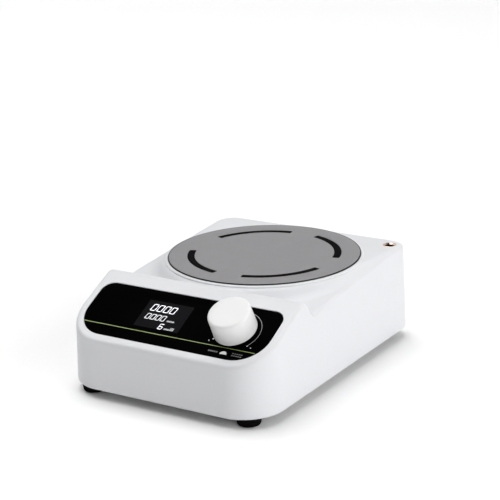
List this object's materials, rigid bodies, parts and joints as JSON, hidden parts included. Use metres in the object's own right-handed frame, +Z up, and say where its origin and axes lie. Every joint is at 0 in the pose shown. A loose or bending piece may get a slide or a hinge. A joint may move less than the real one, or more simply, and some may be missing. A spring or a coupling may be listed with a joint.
{
  "type": "magnetic stirrer",
  "caption": "Magnetic stirrer with a round work plate, a sloped control panel with a push-and-turn knob, and a motor that spins magnets under the plate.",
  "frame": {"origin": "on the bench, midway between the housing's sides and between its front and back", "axes": "+X to the right as seen from the front, +Y to the back, +Z up"},
  "size_m": [0.1592, 0.2102, 0.0774],
  "materials": {
    "white_housing": "fine satin moulded ABS",
    "grey_base": "satin moulded plastic",
    "steel_fastener": "zinc plated",
    "black_rubber": "soft matte",
    "brass": "turned",
    "grey_plate": "grey matte anodised",
    "black_panel": "glossy",
    "dark_window": "glossy tinted",
    "display": "satin",
    "circuit_board": "solder mask",
    "ivory_plastic": "satin",
    "encoder_metal": "pressed and turned",
    "white_knob": "fine satin",
    "motor_steel": "plated",
    "motor_alloy": "die cast",
    "lamination": "stacked sheet",
    "copper_wire": "enamelled copper",
    "ferrite": "sintered",
    "sintered_bronze": "oiled sintered bronze",
    "magnet_nickel": "nickel plated",
    "white_holder": "moulded",
    "bracket_steel": "zinc plated sheet",
    "capacitor": "sleeved",
    "chip": "moulded epoxy",
    "grey_cable": "sheathed",
    "red_cable": "sheathed",
    "black_plastic": "satin"
  },
  "bodies": {
    "housing": {"top_cover": "white_housing", "base_plate": "grey_base", "cover_screws": "steel_fastener", "foot_front_left": "black_rubber", "foot_front_right": "black_rubber", "foot_rear_left": "black_rubber", "foot_rear_right": "black_rubber", "foot_screws": "steel_fastener", "rod_insert": "brass", "work_plate": "grey_plate", "plate_gasket": "black_rubber", "grip_strip_front_right": "black_rubber", "grip_strip_rear_right": "black_rubber", "grip_strip_rear_left": "black_rubber", "grip_strip_front_left": "black_rubber", "panel_lens": "black_panel", "display_window": "dark_window", "display_module": "display", "control_board": "circuit_board", "control_board_screws": "steel_fastener", "encoder_body": "encoder_metal", "encoder_washer": "steel_fastener", "encoder_nut": "steel_fastener", "motor_can": "motor_steel", "motor_flange": "motor_alloy", "motor_stator": "lamination", "motor_coils": "copper_wire", "front_bush": "sintered_bronze", "rear_bush": "sintered_bronze", "speed_sensor_board": "circuit_board", "motor_bracket": "bracket_steel", "motor_screws": "steel_fastener", "bracket_screws": "steel_fastener", "driver_board": "circuit_board", "driver_capacitors": "capacitor", "driver_chips": "chip", "board_connectors": "ivory_plastic", "driver_board_screws": "steel_fastener", "display_cable": "grey_cable", "motor_cable": "red_cable", "power_cable": "black_rubber", "switch_housing": "black_plastic", "switch_terminals": "brass", "dc_jack": "black_plastic", "jack_nut": "steel_fastener", "jack_pin": "steel_fastener"},
    "rotor": {"motor_rotor": "ferrite", "motor_shaft": "motor_steel", "magnet_holder": "white_holder", "magnet_yoke": "bracket_steel", "drive_magnet_north": "magnet_nickel", "drive_magnet_south": "magnet_nickel", "hub_set_screw": "steel_fastener"},
    "plunger": {"encoder_plunger": "ivory_plastic"},
    "knob_and_shaft": {"knob": "white_knob", "encoder_shaft": "encoder_metal"},
    "rocker": {"switch_rocker": "black_plastic"}
  },
  "joints": [
    {"name": "rotor_spin", "type": "hinge", "parent": "housing", "child": "rotor", "pos_m": [0, 0.032, 0.05], "axis": [0, 0, 1], "continuous": true},
    {"name": "knob_press", "type": "slide", "parent": "housing", "child": "plunger", "axis": [0, 0.4509, -0.8926], "range_m": [0, 0.0008]},
    {"name": "knob_turn", "type": "hinge", "parent": "plunger", "child": "knob_and_shaft", "pos_m": [0.045, -0.0812, 0.06472], "axis": [0, -0.4509, 0.8926], "continuous": true},
    {"name": "rocker_tilt", "type": "hinge", "parent": "housing", "child": "rocker", "pos_m": [-0.042, 0.0985, 0.034], "axis": [0, 0, -1], "range_deg": [0, 20]}
  ]
}
